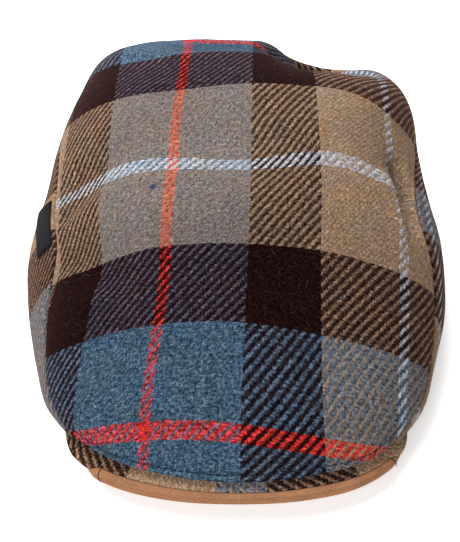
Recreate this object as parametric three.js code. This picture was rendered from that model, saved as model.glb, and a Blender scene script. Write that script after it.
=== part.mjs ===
// Flat cap in checked wool cloth: a soft crown drawn down over a short stiff peak.
// Millimetres, +Z up. The peak points along -Y, the cap rests on the hem of the head opening at z = 0.
import * as THREE from 'three';

// Cloth and gaps
const CLOTH = 2.0;              // wall of the wool cloth
const HEM = 3.6;                // turned-up cloth round the head opening
const SEAM_GAP = 0.3;           // between two pieces that are sewn together
const BELLY_TURN = 0.2;         // how far the cloth below the widest line turns upright again at the hem
const COVER_CLOTH = 1.2;        // thinner cloth over the top of the peak
const LABEL = { length: 27, height: 11.5, thickness: 0.9, lift: 0.45, azimuth: -88, drop: 1.8 };

// Head opening: an ellipse set a little behind the middle
const OPENING = { halfWidth: 84, halfLength: 104, middleY: 16 };

// Peak: half angle of its ends and of the part in front of the side panels, board thickness, height of its inner edge
// tuckAngle, footAngle: where the cloth's lower edge has come in to the head opening and down to the hem
const PEAK = {
  endAngle: 52,
  showAngle: 35,
  tuckAngle: 59,
  footAngle: 66,
  board: 5.0,
  innerRise: 14.5,
  camber: 0.6,
  frontSlope: 0.7,
  sideSlope: 0.3,
  lipDepth: 5.6,
};
const COVER = { endAngle: 48, inward: 14, shownShare: 0.38 };

// Rings of facets
const COLUMN_STEP = 4;          // degrees between columns
const TOP_RINGS = [0.09, 0.18, 0.27, 0.36, 0.45, 0.54, 0.62, 0.70, 0.77, 0.83, 0.885, 0.93, 0.965, 0.988, 1];
const SIDE_ROWS = 8;

// Plan of the crown, a row every 15 degrees from the front (0) to the back (180).
// left, right: from the middle out to the widest line; height: of that line;
// full: how square the shoulder is; seamLeft, seamRight: share of the way out where the top panel's seam runs
const SECTIONS = [
  { at: 0, left: 118.9, right: 118.9, height: 16.5, full: 9.0, seamLeft: 1, seamRight: 1 },
  { at: 15, left: 119.3, right: 119.9, height: 16.2, full: 9.0, seamLeft: 1, seamRight: 1 },
  { at: 30, left: 120.9, right: 122.2, height: 15.2, full: 7.7, seamLeft: 1, seamRight: 1 },
  { at: 45, left: 118.6, right: 117.6, height: 15.0, full: 5.9, seamLeft: 0.99, seamRight: 0.99 },
  { at: 60, left: 110.2, right: 108.9, height: 16.5, full: 4.2, seamLeft: 0.92, seamRight: 0.97 },
  { at: 75, left: 105.4, right: 105.4, height: 19.2, full: 3.75, seamLeft: 0.83, seamRight: 0.905 },
  { at: 90, left: 104.0, right: 103.0, height: 22.5, full: 3.5, seamLeft: 0.845, seamRight: 0.85 },
  { at: 105, left: 103.4, right: 103.0, height: 26.4, full: 3.5, seamLeft: 0.89, seamRight: 0.885 },
  { at: 120, left: 111.6, right: 112.0, height: 30.7, full: 3.8, seamLeft: 0.93, seamRight: 0.95 },
  { at: 135, left: 126.0, right: 133.0, height: 35.5, full: 4.7, seamLeft: 0.95, seamRight: 0.955 },
  { at: 150, left: 148.0, right: 140.0, height: 38.0, full: 6.2, seamLeft: 0.95, seamRight: 0.95 },
  { at: 165, left: 147.5, right: 140.0, height: 39.5, full: 6.5, seamLeft: 0.945, seamRight: 0.945 },
  { at: 180, left: 142.2, right: 142.2, height: 40.5, full: 6.2, seamLeft: 0.94, seamRight: 0.94 },
];

// Line of the crown from front to back along its middle
const CREST = [
  { y: -119.5, z: 19.5 },
  { y: -98, z: 32.3 },
  { y: -72, z: 45.7 },
  { y: -46, z: 58.1 },
  { y: -21, z: 70.3 },
  { y: 5, z: 78.6 },
  { y: 31, z: 86.3 },
  { y: 57, z: 90.8 },
  { y: 82, z: 89.5 },
  { y: 108, z: 84.5 },
  { y: 139, z: 68.0 },
];

// Soft hollows and swells of the crown: long axis turned from +X, half lengths, depth (minus for a swell);
// edge: how firmly the sides of the fold stand, 2 for soft
const FOLDS = [
  { name: 'front swell', x: 0, y: -12, turn: 0, long: 57, wide: 29, edge: 2, depth: -9.7 },
  { name: 'back right dent', x: 50, y: 120, turn: 90, long: 32, wide: 28, edge: 3.5, depth: 33 },
  { name: 'right shoulder crease', x: 77, y: 12, turn: -48, long: 20, wide: 9, edge: 2, depth: 5.0 },
  { name: 'left shoulder pinch', x: -76, y: 10, turn: 24, long: 24, wide: 10, edge: 2, depth: 5.0 },
  { name: 'left front sag', x: -60, y: -30, turn: 140, long: 30, wide: 12, edge: 2, depth: 2.5 },
];

// Reach of the rolled lip beyond the edge of the cloth that stands on the peak
const REACH = [
  { at: -52, out: 4.0 },
  { at: -44, out: 6.5 },
  { at: -38, out: 6.6 },
  { at: -31, out: 8.0 },
  { at: -20, out: 8.7 },
  { at: 0, out: 7.1 },
  { at: 20, out: 8.0 },
  { at: 30, out: 6.6 },
  { at: 36, out: 6.0 },
  { at: 44, out: 6.5 },
  { at: 52, out: 4.0 },
];

const COLOURS = { check: '#56564f', tan: '#a4785b', black: '#16151a' };

const rad = THREE.MathUtils.degToRad;
const lerp = THREE.MathUtils.lerp;
const clamp01 = (value) => THREE.MathUtils.clamp(value, 0, 1);
const ease = (value) => clamp01(value) ** 2 * (3 - 2 * clamp01(value));

// Smooth curve through a table with rows in order of `key`, level beyond its ends
function along(rows, key, column, at) {
  const last = rows.length - 1;
  const x = THREE.MathUtils.clamp(at, rows[0][key], rows[last][key]);
  let i = 0;
  while (i < last - 1 && rows[i + 1][key] < x) i += 1;
  const slope = (k) => {
    const before = rows[Math.max(k - 1, 0)];
    const after = rows[Math.min(k + 1, last)];
    return (after[column] - before[column]) / (after[key] - before[key]);
  };
  const width = rows[i + 1][key] - rows[i][key];
  const s = (x - rows[i][key]) / width;
  const start = rows[i][column] * (1 + 2 * s) * (1 - s) ** 2 + width * slope(i) * s * (1 - s) ** 2;
  const end = rows[i + 1][column] * s * s * (3 - 2 * s) + width * slope(i + 1) * s * s * (s - 1);
  return start + end;
}

// Smooth value round the plan; the left and right columns carry on into each other at the front and back
function round(azimuth, leftColumn, rightColumn) {
  const last = SECTIONS.length - 1;
  const turned = THREE.MathUtils.euclideanModulo(azimuth + 180, 360) - 180;
  const onRight = turned >= 0;
  const place = Math.abs(turned) / 15;
  const i = Math.min(Math.floor(place), last - 1);
  const s = place - i;
  const value = (k) => {
    const mirrored = k < 0 || k > last;
    const row = k < 0 ? -k : k > last ? 2 * last - k : k;
    return SECTIONS[row][onRight !== mirrored ? rightColumn : leftColumn];
  };
  const [a, b, c, d] = [value(i - 1), value(i), value(i + 1), value(i + 2)];
  return b + 0.5 * s * (c - a + s * (2 * a - 5 * b + 4 * c - d + s * (3 * (b - c) + d - a)));
}

const widestRadius = (azimuth) => round(azimuth, 'left', 'right');
const widestHeight = (azimuth) => round(azimuth, 'height', 'height');
const fullness = (azimuth) => round(azimuth, 'full', 'full');
const seamShare = (azimuth) => Math.min(round(azimuth, 'seamLeft', 'seamRight'), 1);

const polar = (azimuth, radius, z) =>
  new THREE.Vector3(radius * Math.sin(rad(azimuth)), -radius * Math.cos(rad(azimuth)), z);

// Radius of the head opening's edge in one direction
function openingRadius(azimuth) {
  const sine = Math.sin(rad(azimuth)) / OPENING.halfWidth;
  const cosine = Math.cos(rad(azimuth)) / OPENING.halfLength;
  const shift = OPENING.middleY / OPENING.halfLength;
  const a = sine * sine + cosine * cosine;
  const b = cosine * shift;
  return (-b + Math.sqrt(b * b + a * (1 - shift * shift))) / a;
}

// Where the lower edge of the cloth stands: on the peak at the front, on the hem elsewhere
function foot(azimuth) {
  const angle = Math.abs(azimuth);
  const onPeak = { radius: widestRadius(azimuth) - 1.3, z: widestHeight(azimuth) - 1.9 };
  const past = (end) => ease((angle - PEAK.showAngle) / (end - PEAK.showAngle));
  return {
    radius: lerp(onPeak.radius, openingRadius(azimuth), past(PEAK.tuckAngle)),
    z: onPeak.z * (1 - past(PEAK.footAngle)),
  };
}

// Depth of all the folds at one place of the crown, fading towards the widest line
function foldDepth(x, y, share) {
  let depth = 0;
  for (const fold of FOLDS) {
    const [dx, dy] = [x - fold.x, y - fold.y];
    const [cosine, sine] = [Math.cos(rad(fold.turn)), Math.sin(rad(fold.turn))];
    const lengthwise = (dx * cosine + dy * sine) / fold.long;
    const across = (dy * cosine - dx * sine) / fold.wide;
    depth += fold.depth * Math.exp(-(lengthwise ** 2) - Math.abs(across) ** fold.edge);
  }
  return depth * (1 - share ** 14);
}

// A point of the cap's outer face: share 0 at the middle of the crown, 1 on the widest line, 2 at the lower edge
function capPoint(azimuth, share) {
  const [radius, height] = [widestRadius(azimuth), widestHeight(azimuth)];
  if (share > 1) {
    const lower = foot(azimuth);
    const s = share - 1;
    const tuck = lerp(s * s, ease(s), BELLY_TURN);
    return polar(azimuth, lerp(radius, lower.radius, tuck), lerp(height, lower.z, s));
  }
  const point = polar(azimuth, radius * share, 0);
  const shoulder = 1 - Math.sqrt(1 - share ** fullness(azimuth));
  const crown = along(CREST, 'y', 'z', point.y) - foldDepth(point.x, point.y, share);
  point.z = lerp(crown, height, shoulder);
  return point;
}

// Outward direction of the cloth, taken from the crown's side down to the widest line and from below after it
function capNormal(azimuth, share) {
  const span = 0.028;
  const below = share > 1;
  const start = below ? Math.min(share, 2 - span) : Math.max(share - span, 0.002);
  const outward = capPoint(azimuth, Math.max(start + span, share)).sub(capPoint(azimuth, start));
  const middle = start + span / 2;
  const sideways = capPoint(azimuth + 1, middle).sub(capPoint(azimuth - 1, middle));
  return outward.cross(sideways).normalize();
}

// A closed body gathered from points and faces
class Body {
  constructor(name, colour) {
    this.name = name;
    this.colour = colour;
    this.points = [];
    this.faces = [];
  }

  add(point) {
    this.points.push(point);
    return this.points.length - 1;
  }

  grid(rows) {
    return rows.map((row) => row.map((point) => this.add(point)));
  }

  // Four corners in order, cut along the shorter diagonal
  quad(a, b, c, d) {
    const [p, q, r, s] = [a, b, c, d].map((index) => this.points[index]);
    if (p.distanceTo(r) <= q.distanceTo(s)) this.faces.push([a, b, c], [a, c, d]);
    else this.faces.push([a, b, d], [b, c, d]);
  }

  // Faces between two rows that run left to right as seen from outside; a ring joins its last column to the first
  strip(upper, lower, ring = false) {
    const count = ring ? upper.length : upper.length - 1;
    for (let j = 0; j < count; j += 1) {
      const next = (j + 1) % upper.length;
      this.quad(upper[j], lower[j], lower[next], upper[next]);
    }
  }

  skin(rows, ring = false) {
    for (let i = 0; i + 1 < rows.length; i += 1) this.strip(rows[i], rows[i + 1], ring);
  }

  mesh() {
    const geometry = new THREE.BufferGeometry();
    const positions = this.points.flatMap((point) => point.toArray());
    geometry.setAttribute('position', new THREE.Float32BufferAttribute(positions, 3));
    geometry.setIndex(this.faces.flat());
    geometry.computeVertexNormals();
    const material = new THREE.MeshStandardMaterial({ color: this.colour, roughness: 0.9 });
    const mesh = new THREE.Mesh(geometry, material);
    mesh.name = this.name;
    return mesh;
  }
}

// A sheet with a free edge all round: outer rows run left to right as seen from outside, top row first
function sheet(name, colour, outerRows, innerRows) {
  const body = new Body(name, colour);
  const outer = body.grid(outerRows);
  const inner = body.grid(innerRows);
  const column = (rows, j) => rows.map((row) => row.at(j));
  body.skin(outer);
  body.skin([...inner].reverse());
  body.strip(inner[0], outer[0]);
  body.strip(outer.at(-1), inner.at(-1));
  body.strip(column(inner, 0).reverse(), column(outer, 0).reverse());
  body.strip(column(inner, -1), column(outer, -1));
  return body.mesh();
}

const inset = (point, normal, depth) => point.clone().addScaledVector(normal, -depth);
const makeRows = (count) => Array.from({ length: count }, () => []);

// Even steps from one angle to another
function spread(from, to, step) {
  const count = Math.round(Math.abs(to - from) / step);
  return Array.from({ length: count + 1 }, (_, j) => lerp(from, to, j / count));
}

// Shares of the places that lie at given distances below the seam, measured over the cloth; the distances are
// worked out from the whole length down to the lower edge and the length down to the widest line
function sharesBelowSeam(azimuth, distances) {
  const seam = seamShare(azimuth);
  const shares = [...spread(seam, 1, (1 - seam) / 80 || 1), ...spread(1, 2, 1 / 80)];
  const lengths = [0];
  for (let k = 1; k < shares.length; k += 1) {
    const step = capPoint(azimuth, shares[k]).distanceTo(capPoint(azimuth, shares[k - 1]));
    lengths.push(lengths[k - 1] + step);
  }
  const crown = lengths[shares.lastIndexOf(1)];
  return distances(lengths.at(-1), crown).map((distance) => {
    const k = Math.max(lengths.findIndex((length) => length >= distance - 1e-9), 1);
    const s = (distance - lengths[k - 1]) / (lengths[k] - lengths[k - 1]);
    return lerp(shares[k - 1], shares[k], clamp01(s));
  });
}

// Crown: rings round a middle point, the outer and inner faces joined along the seam
function topPanel() {
  const body = new Body('top_panel', COLOURS.check);
  const azimuths = spread(-180, 180, COLUMN_STEP).slice(0, -1);
  const outerRings = [];
  const innerRings = [];
  for (const ring of TOP_RINGS) {
    const shares = azimuths.map((azimuth) => ring * seamShare(azimuth));
    const points = azimuths.map((azimuth, j) => capPoint(azimuth, shares[j]));
    outerRings.push(points);
    innerRings.push(points.map((point, j) => inset(point, capNormal(azimuths[j], shares[j]), CLOTH)));
  }
  const apex = capPoint(0, 0);
  const top = body.add(apex);
  const under = body.add(apex.clone().setZ(apex.z - CLOTH));
  const outer = body.grid(outerRings);
  const inner = body.grid(innerRings);
  for (let j = 0; j < azimuths.length; j += 1) {
    const next = (j + 1) % azimuths.length;
    body.faces.push([top, outer[0][j], outer[0][next]]);
    body.faces.push([under, inner[0][next], inner[0][j]]);
  }
  body.skin(outer, true);
  body.skin([...inner].reverse(), true);
  body.strip(outer.at(-1), inner.at(-1), true);
  return body.mesh();
}

// Side panel: from just below the seam down to the hem, which is turned up and thicker
function sidePanel(name, side) {
  const front = PEAK.showAngle + 1;
  const back = 180 - THREE.MathUtils.radToDeg(SEAM_GAP / 2 / OPENING.halfLength);
  const half = SIDE_ROWS / 2;
  const outerRows = makeRows(SIDE_ROWS + 1);
  const innerRows = makeRows(SIDE_ROWS + 1);
  const azimuths = spread(side > 0 ? front : back, side > 0 ? back : front, COLUMN_STEP);
  for (const azimuth of azimuths.map((angle) => side * angle)) {
    const shares = sharesBelowSeam(azimuth, (total, crown) => {
      const turn = Math.max(crown, 0.25 * total);
      const upper = spread(SEAM_GAP, turn, (turn - SEAM_GAP) / half);
      return [...upper, ...spread(turn, total, (total - turn) / half).slice(1)];
    });
    const seamNormal = capNormal(azimuth, seamShare(azimuth));
    const start = capPoint(azimuth, shares[0]);
    shares.forEach((share, i) => {
      const point = capPoint(azimuth, share);
      const own = ease(point.distanceTo(start) / (3 * CLOTH));
      const normal = seamNormal.clone().lerp(capNormal(azimuth, share), own).normalize();
      const hemmed = ease((i / SIDE_ROWS - 0.55) / 0.3) * ease((Math.abs(azimuth) - 60) / 12);
      const inside = inset(point, normal, lerp(CLOTH, HEM, hemmed));
      if (i === SIDE_ROWS) inside.z = point.z;
      outerRows[i].push(point);
      innerRows[i].push(inside);
    });
  }
  return sheet(name, COLOURS.check, outerRows, innerRows);
}

// Measures of the peak in one direction, as radius and height. It falls away in front of the bend, which lies under
// the top panel's edge at the front and inside the side panels' edge at the sides (tucked)
function peakSection(azimuth) {
  const edge = foot(azimuth);
  const reach = along(REACH, 'at', 'out', azimuth);
  const inner = openingRadius(azimuth) - CLOTH;
  const innerBottom = Math.max(PEAK.innerRise * (1 - (azimuth / (PEAK.endAngle + 1)) ** 2), 0.4);
  const tucked = ease((Math.abs(azimuth) - PEAK.showAngle + 12) / 10);
  const seat = edge.z - COVER_CLOTH - 1.5 * SEAM_GAP;
  const board = Math.min(PEAK.board, seat - 0.4);
  const bend = edge.radius + lerp(SEAM_GAP, -CLOTH - SEAM_GAP, tucked);
  const slope = lerp(PEAK.frontSlope, PEAK.sideSlope, tucked);
  const coverEdge = edge.radius + lerp(1.3, reach, COVER.shownShare);
  const innerTop = innerBottom + board;
  const top = (radius) => {
    const s = (radius - inner) / (bend - inner);
    if (s > 1) return seat - slope * (radius - bend);
    return lerp(innerTop, seat, s) + 4 * PEAK.camber * s * (1 - s);
  };
  return { edge, inner, innerBottom, innerTop, board, coverEdge, lip: edge.radius + reach, top };
}

// Peak: a curved board, its tan facing turned up over the front edge as a rolled lip level with the cover
function peak() {
  const body = new Body('peak', COLOURS.tan);
  const azimuths = spread(-PEAK.endAngle, PEAK.endAngle, COLUMN_STEP);
  const loops = azimuths.map((azimuth) => {
    const section = peakSection(azimuth);
    const start = section.coverEdge + SEAM_GAP;
    const width = section.lip - start;
    const lipTop = section.top(start) + SEAM_GAP + COVER_CLOTH;
    const lipBottom = Math.max(lipTop - PEAK.lipDepth, 0.4);
    const lipMiddle = (lipTop + lipBottom) / 2;
    const half = lipTop - lipMiddle;
    const middle = (section.inner + section.edge.radius) / 2;
    const under = (radius) => Math.max(section.top(radius) - section.board, 0.4);
    return [
      [section.inner, section.innerTop],
      [middle, section.top(middle)],
      [section.edge.radius, section.top(section.edge.radius)],
      [start, section.top(start)],
      [start, lipTop - 0.15 * half],
      [start + 0.3 * width, lipTop],
      [section.lip - 0.22 * width, lipMiddle + 0.7 * half],
      [section.lip, lipMiddle],
      [section.lip - 0.22 * width, lipMiddle - 0.7 * half],
      [start + 0.3 * width, lipBottom],
      [section.edge.radius, under(section.edge.radius)],
      [middle, under(middle)],
      [section.inner, section.innerBottom],
    ];
  });
  const rows = loops[0].map((_, k) => loops.map((loop, j) => body.add(polar(azimuths[j], ...loop[k]))));
  body.skin([...rows, rows[0]]);
  for (const end of [0, -1]) {
    const flat = loops.at(end).map(([radius, z]) => new THREE.Vector2(radius, z));
    for (const corners of THREE.ShapeUtils.triangulateShape(flat, [])) {
      const clockwise = THREE.ShapeUtils.isClockWise(corners.map((k) => flat[k]));
      const face = corners.map((k) => rows[k].at(end));
      body.faces.push(clockwise === (end === -1) ? face : face.reverse());
    }
  }
  return body.mesh();
}

// Checked cloth over the peak, lying just above its board and ending behind the lip
function peakTopCover() {
  const places = [0, 0.5, 0.8, 1];
  const upper = makeRows(places.length);
  const lower = makeRows(places.length);
  for (const azimuth of spread(-COVER.endAngle, COVER.endAngle, COLUMN_STEP)) {
    const section = peakSection(azimuth);
    const start = Math.max(section.edge.radius - COVER.inward, section.inner + 1);
    const stations = [start, lerp(start, section.edge.radius, 0.6), section.edge.radius, section.coverEdge];
    stations.forEach((radius, i) => {
      const floor = section.top(radius) + SEAM_GAP;
      lower[i].push(polar(azimuth, radius, floor));
      upper[i].push(polar(azimuth, radius, floor + COVER_CLOTH));
    });
  }
  return sheet('peak_top_cover', COLOURS.check, upper, lower);
}

// Woven tab on the left side panel, following its curve just clear of the cloth
function sideLabel() {
  const places = () => spread(LABEL.drop, LABEL.drop + LABEL.height, LABEL.height / 4);
  const outerRows = makeRows(5);
  const innerRows = makeRows(5);
  const seamRadius = widestRadius(LABEL.azimuth) * seamShare(LABEL.azimuth);
  const half = THREE.MathUtils.radToDeg(LABEL.length / 2 / seamRadius);
  for (const azimuth of spread(LABEL.azimuth - half, LABEL.azimuth + half, half / 4)) {
    sharesBelowSeam(azimuth, places).forEach((share, i) => {
      const point = capPoint(azimuth, share);
      const normal = capNormal(azimuth, share);
      innerRows[i].push(inset(point, normal, -LABEL.lift));
      outerRows[i].push(inset(point, normal, -LABEL.lift - LABEL.thickness));
    });
  }
  return sheet('side_label', COLOURS.black, outerRows, innerRows);
}

// The cap, moved so that the middle of its bottom is the origin
const cap = new THREE.Group();
cap.name = 'flat_cap';
cap.add(topPanel());
cap.add(sidePanel('side_panel_left', -1));
cap.add(sidePanel('side_panel_right', 1));
cap.add(peak());
cap.add(peakTopCover());
cap.add(sideLabel());
const middle = new THREE.Box3().setFromObject(cap).getCenter(new THREE.Vector3());
cap.children.forEach((mesh) => mesh.geometry.translate(-middle.x, -middle.y, 0));

export default cap;
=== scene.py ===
import math

import bpy
import numpy as np
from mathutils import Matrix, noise


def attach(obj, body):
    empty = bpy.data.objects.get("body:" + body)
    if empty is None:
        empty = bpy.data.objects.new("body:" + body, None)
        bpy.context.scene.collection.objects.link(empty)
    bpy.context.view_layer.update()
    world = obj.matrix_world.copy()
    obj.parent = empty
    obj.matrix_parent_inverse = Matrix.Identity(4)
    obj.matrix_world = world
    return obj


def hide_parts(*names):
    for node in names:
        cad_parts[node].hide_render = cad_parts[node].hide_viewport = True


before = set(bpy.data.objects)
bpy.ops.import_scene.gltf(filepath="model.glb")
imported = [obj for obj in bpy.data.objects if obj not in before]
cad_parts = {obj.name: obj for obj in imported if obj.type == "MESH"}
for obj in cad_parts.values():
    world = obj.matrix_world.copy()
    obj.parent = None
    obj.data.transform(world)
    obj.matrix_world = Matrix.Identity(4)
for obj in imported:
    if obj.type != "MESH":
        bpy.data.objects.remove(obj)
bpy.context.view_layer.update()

# Top panel
# One piece of checked wool twill, drawn from the folded edge above the peak over the crown to the back.
# It is sewn to the side panels all round, sinks in at the back right and creases at both shoulders.

# The drawing is in millimetres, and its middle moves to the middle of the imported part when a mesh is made
MM = 0.001
MIDDLE = np.array([-0.446, 9.528, 0.0])
CLOTH = 2.0
BELLY_TURN = 0.2
# At the front the cloth's lower edge lies this far inside and below the widest line
FOOT_INSET = 1.3
FOOT_DROP = 1.9

# Plan of the crown by degrees from the front: radius of the widest line on the left and right, its height,
# how square the shoulder is, and the share of the way out where the seam runs on the left and right
PLAN_STEP = 15
PLAN_COLUMNS = ("left", "right", "height", "full", "seam_left", "seam_right")
PLAN = {
    0: (118.9, 118.9, 16.5, 9.0, 1, 1),
    15: (119.3, 119.9, 16.2, 9.0, 1, 1),
    30: (120.9, 122.2, 15.2, 7.7, 1, 1),
    45: (118.6, 117.6, 15.0, 5.9, 0.99, 0.99),
    60: (110.2, 108.9, 16.5, 4.2, 0.92, 0.97),
    75: (105.4, 105.4, 19.2, 3.75, 0.83, 0.905),
    90: (104.0, 103.0, 22.5, 3.5, 0.845, 0.85),
    105: (103.4, 103.0, 26.4, 3.5, 0.89, 0.885),
    120: (111.6, 112.0, 30.7, 3.8, 0.93, 0.95),
    135: (126.0, 133.0, 35.5, 4.7, 0.95, 0.955),
    150: (148.0, 140.0, 38.0, 6.2, 0.95, 0.95),
    165: (147.5, 140.0, 39.5, 6.5, 0.945, 0.945),
    180: (142.2, 142.2, 40.5, 6.2, 0.94, 0.94),
}

# Line of the crown along its middle: y from front to back, and height
CREST_Y = (-119.5, -98, -72, -46, -21, 5, 31, 57, 82, 108, 139)
CREST_Z = (19.5, 32.3, 45.7, 58.1, 70.3, 78.6, 86.3, 90.8, 89.5, 84.5, 68.0)

# Hollows and swells of the crown: middle, turn of the long axis, half lengths, firmness of the sides, depth.
# They fade towards the widest line by a high power of the share of the way out.
FOLD_FADE = 14
FOLD_COLUMNS = ("x", "y", "turn", "long", "wide", "edge", "depth")
FOLDS = {
    "front swell": (0, -12, 0, 57, 29, 2, -9.7),
    "back right dent": (50, 120, 90, 32, 28, 3.5, 33),
    "right shoulder crease": (77, 12, -48, 20, 9, 2, 5.0),
    "left shoulder pinch": (-76, 10, 24, 24, 10, 2, 5.0),
    "left front sag": (-60, -30, 140, 30, 12, 2, 2.5),
    "crown back swell": (24, 131, 0, 16, 14, 2, -11.8),
    "dent back edge": (46, 133, 0, 12, 18, 2, 34),
    "back right swell": (76, 114, 0, 21, 14, 2, -10.8),
}

HEAD_OPENING = {"half_width": 84, "half_length": 104, "middle_y": 16}
PEAK = {"end": 52, "show": 35, "tuck": 59, "foot": 66}


def lerp(a, b, share):
    return a + (b - a) * share


def ease(value):
    value = np.clip(value, 0, 1)
    return value * value * (3 - 2 * value)


def round_plan(azimuth, left, right):
    """Smooth value round the plan; azimuth 0 is the front and 90 the right."""
    columns = [PLAN_COLUMNS.index(left), PLAN_COLUMNS.index(right)]
    rows = list(PLAN.values())
    turn = [row[columns[0]] for row in rows[:0:-1]] + [row[columns[1]] for row in rows[:-1]]
    values = np.array(turn, dtype=float)
    place = (np.asarray(azimuth, dtype=float) + 180) / PLAN_STEP
    first = np.floor(place).astype(int)
    s = place - first
    a, b, c, d = (values[(first + k) % len(values)] for k in (-1, 0, 1, 2))
    return b + 0.5 * s * (c - a + s * (2 * a - 5 * b + 4 * c - d + s * (3 * (b - c) + d - a)))


def along(places, heights, at):
    """Smooth curve through a short table, level beyond its ends."""
    x, z = np.array(places, dtype=float), np.array(heights, dtype=float)
    at = np.clip(at, x[0], x[-1])
    i = np.clip(np.searchsorted(x, at, side="left") - 1, 0, len(x) - 2)
    before = np.maximum(np.arange(len(x)) - 1, 0)
    after = np.minimum(np.arange(len(x)) + 1, len(x) - 1)
    slope = (z[after] - z[before]) / (x[after] - x[before])
    width = x[i + 1] - x[i]
    s = (at - x[i]) / width
    start = z[i] * (1 + 2 * s) * (1 - s) ** 2 + width * slope[i] * s * (1 - s) ** 2
    end = z[i + 1] * s * s * (3 - 2 * s) + width * slope[i + 1] * s * s * (s - 1)
    return start + end


def seam_share(azimuth):
    return np.minimum(round_plan(azimuth, "seam_left", "seam_right"), 1)


def opening_radius(azimuth):
    """Radius of the oval head opening, whose middle lies behind the middle of the crown."""
    turn = np.radians(azimuth)
    sine = np.sin(turn) / HEAD_OPENING["half_width"]
    cosine = np.cos(turn) / HEAD_OPENING["half_length"]
    shift = HEAD_OPENING["middle_y"] / HEAD_OPENING["half_length"]
    a = sine ** 2 + cosine ** 2
    b = cosine * shift
    return (-b + np.sqrt(b * b + a * (1 - shift * shift))) / a


def foot(azimuth):
    """Radius and height of the cloth's lower edge: on the peak at the front, on the hem elsewhere."""
    angle = np.abs((np.asarray(azimuth, dtype=float) + 180) % 360 - 180)
    tuck, drop = (ease((angle - PEAK["show"]) / (PEAK[end] - PEAK["show"])) for end in ("tuck", "foot"))
    radius = lerp(round_plan(azimuth, "left", "right") - FOOT_INSET, opening_radius(azimuth), tuck)
    return radius, (round_plan(azimuth, "height", "height") - FOOT_DROP) * (1 - drop)


def fold_depth(x, y, share):
    """Depth of all folds together at places of the plan."""
    depth = np.zeros_like(x)
    for row in FOLDS.values():
        fold = dict(zip(FOLD_COLUMNS, row))
        turn = math.radians(fold["turn"])
        dx, dy = x - fold["x"], y - fold["y"]
        lengthwise = (dx * math.cos(turn) + dy * math.sin(turn)) / fold["long"]
        across = (dy * math.cos(turn) - dx * math.sin(turn)) / fold["wide"]
        depth += fold["depth"] * np.exp(-lengthwise ** 2 - np.abs(across) ** fold["edge"])
    return depth * (1 - share ** FOLD_FADE)


def cap_surface(azimuth, share):
    """Points of the outer face: share 0 in the middle of the crown, 1 on the widest line, 2 at the edge."""
    azimuth, share = np.broadcast_arrays(np.asarray(azimuth, dtype=float), np.asarray(share, dtype=float))
    turn = np.radians(azimuth)
    widest = round_plan(azimuth, "left", "right")
    height = round_plan(azimuth, "height", "height")
    upper = np.minimum(share, 1)
    x, y = widest * upper * np.sin(turn), -widest * upper * np.cos(turn)
    shoulder = 1 - np.sqrt(np.maximum(1 - upper ** round_plan(azimuth, "full", "full"), 0))
    crown = along(CREST_Y, CREST_Z, y) - fold_depth(x, y, upper)
    lower = np.clip(share - 1, 0, 1)
    foot_radius, foot_height = foot(azimuth)
    tuck = lerp(lower ** 2, ease(lower), BELLY_TURN)
    radius = np.where(share > 1, lerp(widest, foot_radius, tuck), widest * upper)
    z = np.where(share > 1, lerp(height, foot_height, lower), lerp(crown, height, shoulder))
    return np.stack([radius * np.sin(turn), -radius * np.cos(turn), z], axis=-1)


def grid_normals(points, ring):
    """Outward directions of a grid whose rows run outwards and whose columns run round the cap."""
    down = np.gradient(points, axis=0)
    if ring:
        sideways = np.roll(points, -1, axis=1) - np.roll(points, 1, axis=1)
    else:
        sideways = np.gradient(points, axis=1)
    normals = np.cross(down, sideways)
    return normals / np.maximum(np.linalg.norm(normals, axis=-1, keepdims=True), 1e-9)


def row_distances(points):
    """Distance over the cloth from the first row, column by column."""
    steps = np.linalg.norm(np.diff(points, axis=0), axis=-1)
    return np.vstack([np.zeros(points.shape[1]), np.cumsum(steps, axis=0)])


def soft_waves(points, waves):
    """Small uneven rise and fall of hand-pressed cloth, as (width, height) pairs."""
    flat = points.reshape(-1, 3)
    rise = np.zeros(len(flat))
    for width, height in waves:
        rise += [height * noise.noise(tuple(point / width)) for point in flat]
    return rise.reshape(points.shape[:-1])


def rolled(distance, radius):
    """Depth of a sewn edge that rolls under, at a distance from the seam."""
    rest = np.clip(radius - distance, 0, radius)
    return radius - np.sqrt(radius ** 2 - rest ** 2)


# Maps of the cloth are kept in hundreds of millimetres
MAP_UNIT = 100.0
SHARP_EDGE = math.radians(60)


def new_piece(name, points, faces, cloth=None):
    """A piece from points of the drawing; cloth gives their places on its bands and its threads."""
    mesh = bpy.data.meshes.new(name)
    placed = (np.asarray(points) - MIDDLE) * MM
    mesh.from_pydata(placed.tolist(), [], [tuple(map(int, face)) for face in faces])
    mesh.polygons.foreach_set("use_smooth", [True] * len(mesh.polygons))
    if cloth is not None:
        corners = np.zeros(len(mesh.loops), dtype=np.int32)
        mesh.loops.foreach_get("vertex_index", corners)
        for layer, places in (("cloth", cloth[:, :2]), ("threads", cloth[:, -2:])):
            mapped = (places[corners] / MAP_UNIT).astype(np.float32)
            mesh.uv_layers.new(name=layer).data.foreach_set("uv", mapped.ravel())
    mesh.update()
    mesh.validate()
    mesh.set_sharp_from_angle(angle=SHARP_EDGE)
    piece = bpy.data.objects.new(name, mesh)
    bpy.context.scene.collection.objects.link(piece)
    return piece


def quads(grid):
    """Four-sided faces between the rows and columns of an index grid."""
    corners = [grid[:-1, :-1], grid[1:, :-1], grid[1:, 1:], grid[:-1, 1:]]
    return np.stack(corners, axis=-1).reshape(-1, 4).tolist()


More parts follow.
